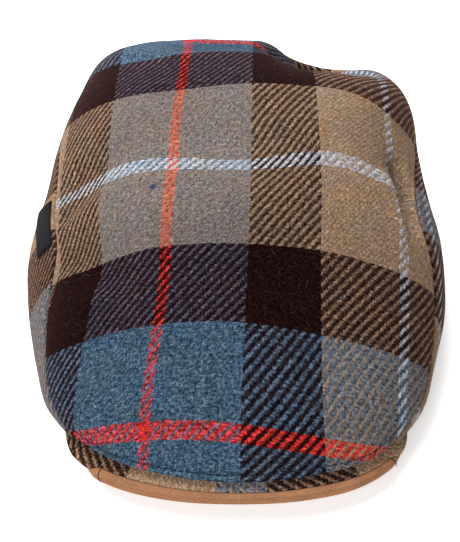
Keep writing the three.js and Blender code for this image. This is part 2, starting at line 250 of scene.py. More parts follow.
def shell_faces(outer, inner, ring, poles=None):
    """Faces of a closed shell between two index grids; poles are the middles of a ring's two faces."""
    loop = np.vstack([outer, inner[::-1]] if poles else [outer, inner[::-1], outer[:1]])
    if ring:
        loop = np.hstack([loop, loop[:, :1]])
    faces = quads(loop)
    if poles:
        first, last = loop[0], loop[-1]
        faces += [(poles[0], a, b) for a, b in zip(first[:-1], first[1:])]
        faces += [(poles[1], b, a) for a, b in zip(last[:-1], last[1:])]
    if not ring:
        for column, flip in ((0, 1), (-1, -1)):
            o, i = outer[:, column], inner[:, column]
            faces += [(a, b, c, d)[::flip] for a, b, c, d in zip(o[:-1], i[:-1], i[1:], o[1:])]
    return faces


def cloth_shell(name, outer, inner, cloth):
    """A closed sheet with a free edge all round."""
    count = outer.shape[0] * outer.shape[1]
    outside = np.arange(count).reshape(outer.shape[:2])
    points = np.vstack([outer.reshape(-1, 3), inner.reshape(-1, 3)])
    both = np.vstack([cloth.reshape(-1, cloth.shape[-1])] * 2)
    return new_piece(name, points, shell_faces(outside, outside + count, False), both)


# The cloth lies on the crown with its threads along x and y: lengths over the crown are its own lengths
MAP_STEP = 0.5
MAP_REACH = {"x": (-130, 130.5), "y": (-130, 156)}
FRONT_SPREAD = {"start": -31, "run": 82, "share": 0.143}
CLOTH_TURN = math.radians(1.53)
map_x, map_y = (np.arange(*MAP_REACH[axis], MAP_STEP) for axis in "xy")
plan_x, plan_y = np.meshgrid(map_x, map_y)
plan_azimuth = np.degrees(np.arctan2(plan_x, -plan_y))
plan_share = np.hypot(plan_x, plan_y) / round_plan(plan_azimuth, "left", "right")
plan_height = cap_surface(plan_azimuth, np.minimum(plan_share, 1))[..., 2]


def lengths_from_zero(places, heights):
    """Lengths over the crown along each row of a map, from the place nearest to 0."""
    steps = np.hypot(MAP_STEP, np.diff(heights, axis=1))
    total = np.hstack([np.zeros((len(heights), 1)), np.cumsum(steps, axis=1)])
    return total - total[:, [int(np.argmin(np.abs(places)))]]


cloth_across = lengths_from_zero(map_x, plan_height)
cloth_along = lengths_from_zero(map_y, plan_height.T).T


def read_map(values, x, y):
    """Value of a map between its places."""
    column = np.clip((x - map_x[0]) / MAP_STEP, 0, len(map_x) - 1.001)
    row = np.clip((y - map_y[0]) / MAP_STEP, 0, len(map_y) - 1.001)
    i, j = row.astype(int), column.astype(int)
    s, t = row - i, column - j
    upper = lerp(values[i, j], values[i, j + 1], t)
    lower = lerp(values[i + 1, j], values[i + 1, j + 1], t)
    return lerp(upper, lower, s)


# Place of the red line among the warp threads and of the white line among the weft threads
WARP_START = -28.5
WEFT_START = 9.8
# Places where the sewn cloth is drawn aside, for each thread direction: middle, reach and how far
PULL_COLUMNS = ("x", "y", "reach_x", "reach_y", "by")
PULLS_ACROSS = {
    "left seam": (-90, -30, 30, 18, -8.9),
    "left side": (-90, -15, 30, 45, -6.0),
    "left ripple": (-60, -15, 30, 28, 6.6),
    "left front": (-30, -90, 30, 45, 4.7),
    "right shoulder": (90, 0, 60, 45, -4.4),
    "right crease": (90, -30, 30, 28, -3.8),
    "right front": (75, -90, 30, 28, 3.9),
    "crown left": (-29, 33, 25, 22, 1.8),
}
PULLS_ALONG = {
    "left back": (-50, 75, 36, 18, 13.5),
    "left side": (-90, -15, 30, 28, 10.1),
    "front middle": (-15, -60, 60, 28, -4.9),
    "front right": (45, -105, 60, 28, 5.7),
    "crown right": (45, 30, 30, 45, -7.0),
    "crown middle": (0, 15, 30, 18, 5.2),
    "crown back": (0, 60, 30, 28, -4.6),
    "right back": (90, 45, 30, 18, 4.3),
}
# Places where the white row is drawn in: where that starts sideways and its run, its middle and reach
# along the cap, how much cloth is taken up on each side and how sharply
TUCK_COLUMNS = ("x", "run", "y", "reach", "by", "sharp")
ROW_TUCKS = {
    "right shoulder crease": (76, 4, 8, 20, 9, 0.3),
    "left seam": (-55, -25, 2, 30, 4.5, 5.0),
}
# Across the back of the crown the cloth is gathered, so that the red row lies close behind the brown
BACK_GATHER = {"from": 91, "run": 11, "by": 28, "reach": 40}


def pulled(pulls, x, y):
    total = np.zeros_like(x)
    for row in pulls.values():
        pull = dict(zip(PULL_COLUMNS, row))
        near = ((x - pull["x"]) / pull["reach_x"]) ** 2 + ((y - pull["y"]) / pull["reach_y"]) ** 2
        total += pull["by"] * np.exp(-near)
    return total


def crown_cloth(points):
    """Place of the crown's points on the flat cloth, in millimetres along its warp and weft bands."""
    x, y = points[..., 0], points[..., 1]
    u, v = read_map(cloth_across, x, y), read_map(cloth_along, x, y)
    spread = np.clip((FRONT_SPREAD["start"] - y) / FRONT_SPREAD["run"], 0, 1)
    u = u * (1 - FRONT_SPREAD["share"] * spread)
    across = u * math.cos(CLOTH_TURN) - v * math.sin(CLOTH_TURN) + pulled(PULLS_ACROSS, x, y)
    lengthwise = u * math.sin(CLOTH_TURN) + v * math.cos(CLOTH_TURN) + pulled(PULLS_ALONG, x, y)
    gathered = ease((y - BACK_GATHER["from"]) / BACK_GATHER["run"])
    lengthwise += BACK_GATHER["by"] * gathered * np.exp(-(x / BACK_GATHER["reach"]) ** 4)
    for row in ROW_TUCKS.values():
        tuck = dict(zip(TUCK_COLUMNS, row))
        share = ease((x - tuck["x"]) / tuck["run"]) * np.exp(-((y - tuck["y"]) / tuck["reach"]) ** 2)
        lengthwise += tuck["by"] * share * np.tanh((lengthwise - WEFT_START) / tuck["sharp"])
    return np.stack([across, lengthwise], axis=-1)


# Crown mesh: rings crowd towards the seam, where the edge rolls under and the front is stitched down
CROWN_RINGS = 96
CROWN_COLUMNS = 450
RING_CROWD = {"power": 1.8, "share": 0.75}
EDGE_ROLL = 1.6
TOPSTITCH = {"inside": 3.8, "sink": 0.7, "width": 1.3, "end": 37, "fade": 3, "lift": 0.1}
CROWN_WAVES = ((34, 0.7), (13, 0.22))
# The seam holds the cloth: waves and creases die out over these lengths beside it
SEAM_HOLD = {"waves": 12, "creases": 4}
# Creases: how far the cloth rises, how wide, and the line in plan that each follows.
# Each is weaker in the quarter at either end.
CREASE_STOPS = 40
CREASE_END = {"quarter": 4, "least": 0.15}
CREASES = {
    "right shoulder valley": (-6.5, 4.4, ((75, 32), (78, 21), (81, 9), (82, -6), (84, -20))),
    "right shoulder ridge": (2.2, 5.5, ((66, 20), (71, 13), (75, 2), (77, -9), (78, -24))),
    "left shoulder valley": (-2.2, 5.0, ((-62, 4), (-72, 2), (-80, -3), (-86, -10))),
    "left front valley": (-1.8, 6.0, ((-80, -22), (-70, -32), (-58, -40), (-44, -50))),
    "left front ridge": (1.2, 6.0, ((-82, -36), (-70, -44), (-56, -52))),
    "crown back valley": (-2.2, 5.0, ((-40, 95), (-20, 96), (5, 96), (30, 97))),
    "dent wall": (-3.5, 9.0, ((14, 114), (24, 107), (36, 102), (50, 99))),
}


def crease_rise(points):
    """Rise of the creases, strongest along the middle of each line."""
    plan = points[..., :2]
    total = np.zeros(plan.shape[:-1])
    for rise, width, line in CREASES.values():
        stops = np.array(line, dtype=float)
        places = np.linspace(0, len(stops) - 1, CREASE_STOPS)
        line_x, line_y = (np.interp(places, np.arange(len(stops)), stops[:, k]) for k in (0, 1))
        gap = np.hypot(plan[..., 0, None] - line_x, plan[..., 1, None] - line_y)
        nearest = places[np.argmin(gap, axis=-1)] / (len(stops) - 1)
        fade = ease(CREASE_END["quarter"] * nearest) * ease(CREASE_END["quarter"] * (1 - nearest))
        total += rise * lerp(CREASE_END["least"], 1, fade) * np.exp(-(gap.min(axis=-1) / width) ** 2)
    return total


crown_azimuth = np.arange(CROWN_COLUMNS) * 360 / CROWN_COLUMNS - 180
ring_place = np.linspace(0, 1, CROWN_RINGS + 1)[1:]
ring_share = lerp(ring_place, 1 - (1 - ring_place) ** RING_CROWD["power"], RING_CROWD["share"])
crown = cap_surface(crown_azimuth[None, :], ring_share[:, None] * seam_share(crown_azimuth)[None, :])
crown_uv = crown_cloth(crown)
crown_normals = grid_normals(crown, True)
from_seam = row_distances(crown[::-1])[::-1]
stitched = np.clip((TOPSTITCH["end"] - np.abs(crown_azimuth)) / TOPSTITCH["fade"] + 1, 0, 1)[None, :]
sunk = TOPSTITCH["sink"] * np.exp(-((from_seam - TOPSTITCH["inside"]) / TOPSTITCH["width"]) ** 2)
crown_rise = soft_waves(crown, CROWN_WAVES) * ease(from_seam / SEAM_HOLD["waves"])
crown_rise += crease_rise(crown) * ease(from_seam / SEAM_HOLD["creases"])
crown_rise -= rolled(from_seam, EDGE_ROLL) + sunk * stitched
crown_face = crown + crown_normals * crown_rise[..., None]
pressed_in = np.where(crown_rise < -EDGE_ROLL, crown_rise, 0)
crown_lining = crown - crown_normals * (CLOTH - pressed_in)[..., None]
crown_lining[..., 2] = np.maximum(crown_lining[..., 2], crown[-1, :, 2].min() - FOOT_DROP)
apex = cap_surface(0, 0)
under_apex = apex - np.array([0, 0, CLOTH])
crown_count = CROWN_RINGS * CROWN_COLUMNS
crown_index = np.arange(crown_count).reshape(CROWN_RINGS, CROWN_COLUMNS)
crown_points = np.vstack([crown_face.reshape(-1, 3), crown_lining.reshape(-1, 3), apex, under_apex])
crown_map = np.vstack([crown_uv.reshape(-1, 2)] * 2 + [crown_cloth(apex[None, :])] * 2)
crown_poles = (2 * crown_count, 2 * crown_count + 1)
crown_faces = shell_faces(crown_index, crown_index + crown_count, True, crown_poles)
top_panel = new_piece("top_panel_cloth", crown_points, crown_faces, crown_map)


# Checked wool, woven two over two under: warp and weft colours lie in bands that mirror at their ends
def linear(red, green, blue):
    """Colour given in screen values from 0 to 255."""
    shares = [channel / 255 for channel in (red, green, blue)]
    return tuple(c / 12.92 if c <= 0.04045 else ((c + 0.055) / 1.055) ** 2.4 for c in shares) + (1.0,)


# Yarns: colour, how far they cover the other yarn (0.5 is even) and, as warp and as weft, how far their
# colour runs into the other yarn's and how far their ribs are lost in it
YARN_COLUMNS = ("colour", "cover", "warp_mingle", "weft_mingle", "warp_blur", "weft_blur")
YARN = {
    "red": (linear(172, 28, 27), 0.56, 0.1, 0.1, 0.8, 0.1),
    "blue": (linear(53, 77, 96), 0.42, 1.0, 0.5, 1.0, 0.35),
    "brown": (linear(21, 7, 7), 0.73, 0.3, 0.6, 0.25, 0.1),
    "camel": (linear(132, 109, 86), 0.38, 0.3, 0.25, 1.0, 0.8),
    "white": (linear(158, 160, 165), 0.56, 0.2, 0.2, 0.1, 0.1),
}
WEFT_FACED = 0.38
# Bands of each thread direction: place of the first, where each starts, and the run before they mirror
BANDS = {
    "warp": {"place": WARP_START, "run": 102.4,
             "starts": {"red": 0, "blue": 2.35, "brown": 34.1, "camel": 65.5, "white": 99.9}},
    "weft": {"place": WEFT_START, "run": 124.3,
             "starts": {"white": 0, "camel": 3.7, "brown": 44.8, "blue": 82.9, "red": 120.1}},
}
PITCH = {"warp": 1.0, "weft": 1.3}
# How far the bands' edges wander, how far stray fibres blur the ribs, and how much of a rib steps by threads
WANDER = 1.5
STRAY = 5.0
RIB_STEPS = 0.35
# Share of warp to be seen where the ribs are lost, and of its colour where the colours run together
LOST_RIB = 0.45
MINGLED_WARP = 0.42
# What makes the relief and the height of the cloth, and its painted shade where the ribs are lost
RELIEF = {"rib": 0.4, "thread": 0.25, "fuzz": 0.8}
LOST_RELIEF = 0.95
# Yarn spun from several dyes: how soon it counts as such, and how much more even it is
SPUN = {"gain": 2.0, "evens": 0.35}
DARKEST = 0.15
CHECK_BUMP = {"strength": 0.55, "distance": 0.7}
# Patterns of loose fibre and uneven dye: marks to a millimetre, detail and roughness
WOOL_NOISE = {
    "wander": (0.7, 3.0, 0.65),
    "stray": (0.6, 3.0, 0.8),
    "fibres": (0.7, 3.0, 0.75),
    "fuzz": (0.75, 3.0, 0.85),
    "mottle": (0.14, 3.0, 0.6),
    "warmth": (0.06, 3.0, 0.65),
    "heather": (0.9, 2.0, 0.6),
    "heather share": (1.0, 2.0, 0.7),
}
# How an effect is read: the two ends of its range, and the values that stand for them
WOOL_RANGE = {
    "rib": (-0.45, 0.45, 0.0, 1.0),
    # relief: painted shade, darker in the grooves between threads and ribs, lighter on their crowns
    "relief": (0.0, 0.6, 0.78, 1.06),
    "fibres": (0.32, 0.68, 0.1, 1.9),
    "fuzz": (0.34, 0.66, 0.1, 2.0),
    "mottle": (0.3, 0.7, 0.86, 1.14),
    "tint": (0.0, 1.0, 0.88, 1.12),
    "uneven": (0.05, 0.15, 1.45, 0.75),
    "depth": (0.4, 1.7, 1.3, 0.8),
    "warmth": (0.35, 0.65, 0.0, 1.0),
    "heather share": (0.42, 0.7, 0.0, 0.6),
    "heather by tone": (0.02, 0.14, 0.0, 1.0),
}
FIBRE_DRAWN = {"warp": (1.5, 0.45, 1.0), "weft": (0.45, 1.5, 1.0)}
COOL_CAST = (0.93, 1.0, 1.08, 1.0)
WARM_CAST = (1.08, 0.99, 0.9, 1.0)
HEATHER = ((0.36, linear(36, 62, 106)), (0.5, linear(98, 92, 84)), (0.64, linear(150, 116, 74)))
FLECK = {"at": (-35.6, -3.7, 0.0), "size": 1.9, "share": 0.85, "colour": linear(22, 42, 86)}


class Tree:
    """A node tree with short calls for its nodes and links."""

    def __init__(self, tree):
        self.tree = tree

    def node(self, kind, inputs=None, **settings):
        made = self.tree.nodes.new(kind)
        for key, value in settings.items():
            setattr(made, key, value)
        for key, value in (inputs or {}).items():
            self.feed(made.inputs[key], value)
        return made

    def feed(self, socket, value):
        if isinstance(value, bpy.types.NodeSocket):
            self.tree.links.new(value, socket)
        else:
            socket.default_value = value

    def math(self, operation, *values):
        made = self.node("ShaderNodeMath", dict(enumerate(values)), operation=operation)
        return made.outputs[0]

    def mix(self, share, a, b, blend="MIX"):
        made = self.node("ShaderNodeMix", {0: share, 6: a, 7: b}, data_type="RGBA", blend_type=blend)
        return made.outputs[2]

    def blend(self, share, a, b):
        return self.node("ShaderNodeMix", {0: share, 2: a, 3: b}).outputs[0]

    def vector(self, operation, *values):
        return self.node("ShaderNodeVectorMath", dict(enumerate(values)), operation=operation).outputs

    def scale(self, vector, by):
        inputs = {0: vector, "Scale": by}
        return self.node("ShaderNodeVectorMath", inputs, operation="SCALE").outputs[0]

    def parts(self, vector):
        return self.node("ShaderNodeSeparateXYZ", {0: vector}).outputs

    def range(self, value, low, high, new_low, new_high):
        made = self.node("ShaderNodeMapRange", {0: value, 1: low, 2: high, 3: new_low, 4: new_high})
        return made.outputs[0]

    def noise(self, place, scale, detail=2.0, rough=0.5):
        inputs = {"Vector": place, "Scale": scale, "Detail": detail, "Roughness": rough}
        return self.node("ShaderNodeTexNoise", inputs).outputs

    def ramp(self, share, stops, interpolation="LINEAR"):
        made = self.node("ShaderNodeValToRGB", {0: share})
        made.color_ramp.interpolation = interpolation
        elements = made.color_ramp.elements
        while len(elements) < len(stops):
            elements.new(1.0)
        for element, (position, colour) in zip(elements, stops):
            element.position = position
            element.color = colour
        return made.outputs[0]


def new_tree(name, kind, inputs, outputs):
    """A node group with named sockets, and the sockets that its nodes read from and feed."""
    group = bpy.data.node_groups.new(name, kind)
    for in_out, sockets in (("INPUT", inputs), ("OUTPUT", outputs)):
        for socket, value in sockets.items():
            group.interface.new_socket(socket, in_out=in_out, socket_type="NodeSocket" + value)
    return group, group.nodes.new("NodeGroupInput").outputs, group.nodes.new("NodeGroupOutput").inputs


WEAVE_OUTPUTS = {"Color": "Color", "Height": "Float"}
CHECK_INPUTS = {"Cloth": "Vector", "Threads": "Vector", "Warp pitch": "Float", "Weft pitch": "Float",
                "Stray": "Float", "Painted light": "Float"}
check_group, given, result = new_tree("checked wool twill", "ShaderNodeTree", CHECK_INPUTS, WEAVE_OUTPUTS)
t = Tree(check_group)


def pattern(name, place=given["Cloth"]):
    """One of the wool's patterns, as a value from 0 to 1."""
    return t.noise(place, *WOOL_NOISE[name])[0]


def effect(name, value):
    """An effect read over its own range."""
    return t.range(value, *WOOL_RANGE[name])


wander = t.noise(given["Cloth"], *WOOL_NOISE["wander"])["Color"]
centred = t.vector("SUBTRACT", wander, (0.5, 0.5, 0.5))[0]
moved, strung = (t.vector("MULTIPLY_ADD", centred, (WANDER, WANDER, 0), given[layer])[0]
                 for layer in ("Cloth", "Threads"))
place, thread = t.parts(moved), t.parts(strung)

# The yarn's colour and nature in each thread direction, and the number of the thread
colours, natures, counts = {}, {}, {}
for axis, (way, bands) in enumerate(BANDS.items()):
    run = t.math("PINGPONG", t.math("SUBTRACT", place[axis], bands["place"]), bands["run"])
    share = t.math("DIVIDE", run, bands["run"])
    columns = [YARN_COLUMNS.index(name) for name in ("cover", way + "_mingle", way + "_blur")]
    hue_stops, nature_stops = [], []
    for yarn, band_start in bands["starts"].items():
        nature = tuple(YARN[yarn][k] for k in columns) + (1.0,)
        hue_stops.append((band_start / bands["run"], YARN[yarn][0]))
        nature_stops.append((band_start / bands["run"], nature))
    colours[way] = t.ramp(share, hue_stops, "CONSTANT")
    natures[way] = t.parts(t.ramp(share, nature_stops, "CONSTANT"))
    counts[way] = t.math("DIVIDE", thread[axis], given[way.capitalize() + " pitch"])

# The ribs of the twill: two threads over and two under, one thread further on in each row
stair = t.math("SUBTRACT", t.math("FLOOR", counts["warp"]), t.math("FLOOR", counts["weft"]))
stepped = t.math("LESS_THAN", t.math("FLOORED_MODULO", stair, 4.0), 2.0)
slant = t.math("SUBTRACT", t.math("SUBTRACT", counts["warp"], counts["weft"]), 0.5)
rib = t.math("COSINE", t.math("MULTIPLY", slant, math.pi / 2))

# Loose fibres of both threads cross the ribs, so their edges are ragged and the colours run into each other
covers = t.math("MULTIPLY", t.math("SUBTRACT", natures["warp"][0], natures["weft"][0]), 2.0)
blurred = t.math("MULTIPLY", t.math("SUBTRACT", pattern("stray"), 0.5), given["Stray"])
ragged = t.math("ADD", t.math("ADD", rib, blurred), t.math("SUBTRACT", covers, WEFT_FACED))
smooth_rib = t.math("MULTIPLY", effect("rib", ragged), 1 - RIB_STEPS)
rib_over = t.math("ADD", t.math("MULTIPLY", stepped, RIB_STEPS), smooth_rib)
mingle, lost = (t.math("MULTIPLY", natures["warp"][k], natures["weft"][k]) for k in (1, 2))
warp_over = t.blend(lost, rib_over, LOST_RIB)
woven = t.mix(warp_over, colours["weft"], colours["warp"])
tone = t.node("ShaderNodeRGBToBW", {0: woven}).outputs[0]
hues = []
for colour in (colours["weft"], colours["warp"]):
    own = t.node("ShaderNodeRGBToBW", {0: colour}).outputs[0]
    hues.append(t.scale(colour, t.math("DIVIDE", tone, own)))
mingled = t.mix(mingle, woven, t.mix(MINGLED_WARP, *hues))


def fibres_along(way):
    """Fibres drawn out along their own thread."""
    return pattern("fibres", t.vector("MULTIPLY", given["Cloth"], FIBRE_DRAWN[way])[0])


def own_tint(way):
    """A tone for each thread by its number."""
    number = t.math("FLOOR", counts[way])
    return t.node("ShaderNodeTexWhiteNoise", {"W": number}, noise_dimensions="1D").outputs[0]


def own_round(way):
    """Height of a round thread across its width."""
    return t.math("ABSOLUTE", t.math("SINE", t.math("MULTIPLY", counts[way], math.pi)))


def on_top(made):
    """What a function makes for the thread that lies on top."""
    return t.blend(warp_over, made("weft"), made("warp"))


effects = {
    "fibres": on_top(fibres_along),
    "fuzz": pattern("fuzz"),
    "mottle": pattern("mottle"),
    "tint": on_top(own_tint),
}
thread_round = on_top(own_round)
rib_relief = t.math("MULTIPLY", t.math("ABSOLUTE", rib), RELIEF["rib"])
relief = t.math("ADD", rib_relief, t.math("MULTIPLY", thread_round, RELIEF["thread"]))
loose = t.math("ADD", effects["fibres"], t.math("MULTIPLY", effects["fuzz"], RELIEF["fuzz"]))
t.feed(result["Height"], t.math("ADD", relief, loose))

# Each effect darkens and lightens the cloth by its own range
# The relief's part is painted shade in the grooves between threads and ribs
shade = t.blend(lost, effect("relief", relief), LOST_RELIEF)
for name, value in effects.items():
    shade = t.math("MULTIPLY", shade, effect(name, value))
# Dark yarn is more uneven than pale yarn, and yarn spun from several dyes less so
spun = t.math("MINIMUM", t.math("MULTIPLY", mingle, SPUN["gain"]), 1.0)
uneven = t.math("SUBTRACT", effect("uneven", tone), t.math("MULTIPLY", spun, SPUN["evens"]))
shade = t.math("MULTIPLY_ADD", t.math("SUBTRACT", shade, 1.0), uneven, 1.0)
# Painted light: a gain that lightens the colour, raised on the peak cover whose strip lies in shade
shade = t.math("MULTIPLY", t.math("MAXIMUM", shade, DARKEST), given["Painted light"])
# The pale fibres of spun yarn are greyer and its dark ones deeper, and the dye is warmer or cooler in places
depth = t.blend(spun, 1.0, effect("depth", shade))
shaded = t.scale(mingled, shade)
shaded = t.node("ShaderNodeHueSaturation", {"Saturation": depth, "Color": shaded}).outputs[0]
cast = t.mix(effect("warmth", pattern("warmth")), COOL_CAST, WARM_CAST)
shaded = t.mix(1.0, shaded, cast, "MULTIPLY")

# Heather: dyed fibres of other colours spun in with the yarn, and one darker fleck near the white row
heather_share = effect("heather share", pattern("heather share"))
heather_share = t.math("MULTIPLY", heather_share, effect("heather by tone", tone))
heathered = t.mix(heather_share, shaded, t.ramp(pattern("heather"), HEATHER))
fleck_gap = t.vector("DISTANCE", moved, FLECK["at"])["Value"]
fleck_share = t.range(fleck_gap, FLECK["size"], 0.5 * FLECK["size"], 0.0, FLECK["share"])
t.feed(result["Color"], t.mix(fleck_share, heathered, FLECK["colour"]))


def set_inputs(node, values):
    """Even values on a node's own inputs."""
    for socket, value in values.items():
        node.inputs[socket].default_value = value


def new_material(name, roughness, sheen, sheen_tint):
    """A matt cloth material: its tree and its shader, whose even values stay on the shader itself."""
    material = bpy.data.materials.new(name)
    material.use_nodes = True
    tree = Tree(material.node_tree)
    shader = material.node_tree.nodes["Principled BSDF"]
    set_inputs(shader, {"Roughness": roughness, "Specular IOR Level": 0.03, "Sheen Weight": sheen,
                        "Sheen Roughness": 0.5, "Sheen Tint": sheen_tint})
    return material, tree, shader


def bump(tree, shader, height, strength, distance):
    """Relief of the cloth, with its depth in millimetres."""
    made = tree.node("ShaderNodeBump", {"Strength": strength, "Distance": distance * MM, "Height": height})
    tree.feed(shader.inputs["Normal"], made.outputs[0])


def cloth_place(tree, layer):
    """A map of the cloth in millimetres."""
    return tree.scale(tree.node("ShaderNodeUVMap", uv_map=layer).outputs[0], MAP_UNIT)


def checked_wool(name, painted_light):
    """The check as a material; its last argument is a gain on its colour that paints in light, 1 for none.
    """
    material, tree, shader = new_material(name, roughness=1.0, sheen=0.06, sheen_tint=linear(235, 165, 150))
    weave = tree.node("ShaderNodeGroup", node_tree=check_group)
    tree.feed(weave.inputs["Cloth"], cloth_place(tree, "cloth"))
    tree.feed(weave.inputs["Threads"], cloth_place(tree, "threads"))
    set_inputs(weave, {"Warp pitch": PITCH["warp"], "Weft pitch": PITCH["weft"], "Stray": STRAY,
                       "Painted light": painted_light})
    tree.feed(shader.inputs["Base Color"], weave.outputs["Color"])
    bump(tree, shader, weave.outputs["Height"], **CHECK_BUMP)
    return material


check_cloth = checked_wool("checked wool", 1.0)


def place_piece(piece, material, node):
    """The piece takes its material, moves with the cap and stands for its solid."""
    piece.data.materials.append(material)
    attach(piece, "root")
    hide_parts(node)


place_piece(top_panel, check_cloth, "top_panel")

# Side panels
# Two pieces of the same cloth, sewn to the crown, that fill out below the seam and turn in to the hem.
# They meet in a seam at the middle of the back and run out to a point above the peak's ends.
SEAM_GAP = 0.3
SIDE_COLUMN_STEP = 1.0
SIDE_FINE_ROWS = 60
SIDE_UPPER_ROWS = 14
SIDE_LOWER_ROWS = 18
SIDE_UPPER = {"crowd": 1.5, "least": 0.3}
SIDE_WAVES = ((28, 0.7), (11, 0.2))
SIDE_HOLD = 8
# Length beside the seam where the cloth's thickness turns from the seam's direction to its own
SIDE_TURN = 6.0
# The hem is turned up to a height behind the peak's ends, and its row of stitches sinks into the cloth
HEM = {"thick": 3.6, "height": 14, "run": 4, "from": 60, "turn": 12}
HEM_STITCH = {"above": 11, "sink": 0.6, "width": 1.1, "from": 6}
# Each panel's cloth: warp place at the seam, where the weft bands mirror, their place there and stretch.
# The weft bands turn back at their last blue.
SIDE_CLOTH_COLUMNS = ("warp", "mirror", "weft", "stretch")
SIDE_CLOTH = {
    "left": (41.5, 4.1, 28.2, 1.25),
    "right": (66.5, 6.5, 97.4, -1.0),
}
LAST_BLUE = WEFT_START - 119.5


def side_panel(side):
    """One panel, its outer face, and the line of the stitches in its hem."""
    sign = -1 if side == "left" else 1
    front = PEAK["show"] + 1
    back = 180 - math.degrees(SEAM_GAP / 2 / HEAD_OPENING["half_length"])
    count = int((back - front) / SIDE_COLUMN_STEP)
    azimuth = sign * np.linspace(front, back, count + 1)
    if sign < 0:
        azimuth = azimuth[::-1]
    upper_fine = np.linspace(0, 1, SIDE_FINE_ROWS)[:, None]
    lower_fine = np.linspace(1, 2, SIDE_FINE_ROWS + 1)[1:, None]
    seam = seam_share(azimuth)[None, :]
    fine_share = np.vstack([lerp(seam, 1, upper_fine), lower_fine * np.ones_like(seam)])
    lengths = row_distances(cap_surface(azimuth[None, :], fine_share))
    shares = np.zeros((SIDE_UPPER_ROWS + SIDE_LOWER_ROWS + 1, len(azimuth)))
    for j in range(len(azimuth)):
        turn = max(lengths[SIDE_FINE_ROWS - 1, j], SIDE_UPPER["least"] * lengths[-1, j])
        upper = lerp(SEAM_GAP, turn, np.linspace(0, 1, SIDE_UPPER_ROWS + 1) ** SIDE_UPPER["crowd"])
        lower = lerp(turn, lengths[-1, j], np.linspace(0, 1, SIDE_LOWER_ROWS + 1))[1:]
        shares[:, j] = np.interp(np.concatenate([upper, lower]), lengths[:, j], fine_share[:, j])
    points = cap_surface(azimuth[None, :], shares)
    normals = grid_normals(points, False)
    below = row_distances(points)
    above = below[-1][None, :] - below
    behind_peak = ease((np.abs(azimuth)[None, :] - HEM["from"]) / HEM["turn"])
    hemmed = ease((HEM["height"] - above) / HEM["run"]) * behind_peak
    rise = soft_waves(points, SIDE_WAVES) * ease(below / SIDE_HOLD) * ease(above / SIDE_HOLD)
    rise -= rolled(below, EDGE_ROLL)
    near_stitch = np.exp(-((above - HEM_STITCH["above"]) / HEM_STITCH["width"]) ** 2)
    rise -= HEM_STITCH["sink"] * near_stitch * behind_peak
    outer = points + normals * rise[..., None]
    own = ease(below / SIDE_TURN)[..., None]
    inward = lerp(normals[:1], normals, own)
    inward /= np.linalg.norm(inward, axis=-1, keepdims=True)
    inner = points - inward * lerp(CLOTH, HEM["thick"], hemmed)[..., None]
    inner[-1, :, 2] = outer[-1, :, 2]
    middle_row = points[SIDE_UPPER_ROWS]
    run = np.concatenate([[0], np.cumsum(np.linalg.norm(np.diff(middle_row, axis=0), axis=-1))])
    from_side = sign * (run - np.interp(sign * 90, azimuth, run))
    cut = dict(zip(SIDE_CLOTH_COLUMNS, SIDE_CLOTH[side]))
    weft = WEFT_START - cut["weft"] - cut["stretch"] * np.abs(from_side - cut["mirror"])
    weft = LAST_BLUE + np.abs(weft - LAST_BLUE)
    warp = cut["warp"] + below
    cloth = np.stack(np.broadcast_arrays(warp, weft, warp, sign * from_side), axis=-1)
    hem_line = []
    for j in np.flatnonzero(np.abs(azimuth) > PEAK["foot"] + HEM_STITCH["from"]):
        hem_line.append([np.interp(-HEM_STITCH["above"], -above[:, j], outer[:, j, k]) for k in range(3)])
    return cloth_shell("side_panel_" + side + "_cloth", outer, inner, cloth), outer, hem_line


side_faces, hem_lines = [], []
for side in ("left", "right"):
    panel, face, hem_line = side_panel(side)
    side_faces.append(face)
    hem_lines.append(hem_line)
    place_piece(panel, check_cloth, "side_panel_" + side)

# Peak
# A short stiff board faced in plain tan cloth that turns up over the front edge as a soft rolled lip.
# Its ends run under the side panels, where it is sewn in between the cloth and the hem.
PEAK_BOARD = 5.0
PEAK_INNER_RISE = 14.5
PEAK_CAMBER = 0.6
PEAK_SLOPES = (0.4, 0.3)
PEAK_TUCK = {"before": 12, "run": 10}
PEAK_STEPS = 9
PEAK_EDGE = 0.8
PEAK_CLEAR = 0.4
PEAK_INNER_STEPS = (0.3, 0.7)
# Mean radius of the peak's edge, for lengths of cloth along it
PEAK_RADIUS = 118
LIP_DEPTH = 5.2
COVER_CLOTH = 1.2
COVER = {"end": 48, "inward": 14, "shown": 0.38}
# Reach of the lip beyond the cloth that stands on the peak, by direction
REACH_AT = (-52, -44, -38, -31, -20, 0, 20, 30, 36, 44, 52)
REACH_OUT = (4.0, 6.5, 6.6, 8.0, 8.7, 7.1, 8.0, 6.6, 6.0, 6.5, 4.0)
# The lip's section: its facets, where they start and end, how square it is, its rise above the cover,
# and how far below its top it leaves the cover
LIP_FACETS = 14
LIP_TURN = (0.8 * math.pi, -0.62 * math.pi)
LIP_SQUARE = 0.5
LIP_RISE = 0.45
LIP_FOLD = 0.3
LIP_GAP = 0.05
# The lip is tacked at both ends, and beyond the tacks it slips under the cover
LIP_TACKS = {"left": -29, "right": 33, "run": 3.5}
LIP_END = {"reach": 0.75, "shown": 1.15, "depth": 0.3, "tuck": 0.5}


def lip_share(azimuth):
    """How much of the lip stands free of the cover in one direction."""
    beyond = max(LIP_TACKS["left"] - azimuth, azimuth - LIP_TACKS["right"])
    return 1 - float(ease(beyond / LIP_TACKS["run"]))


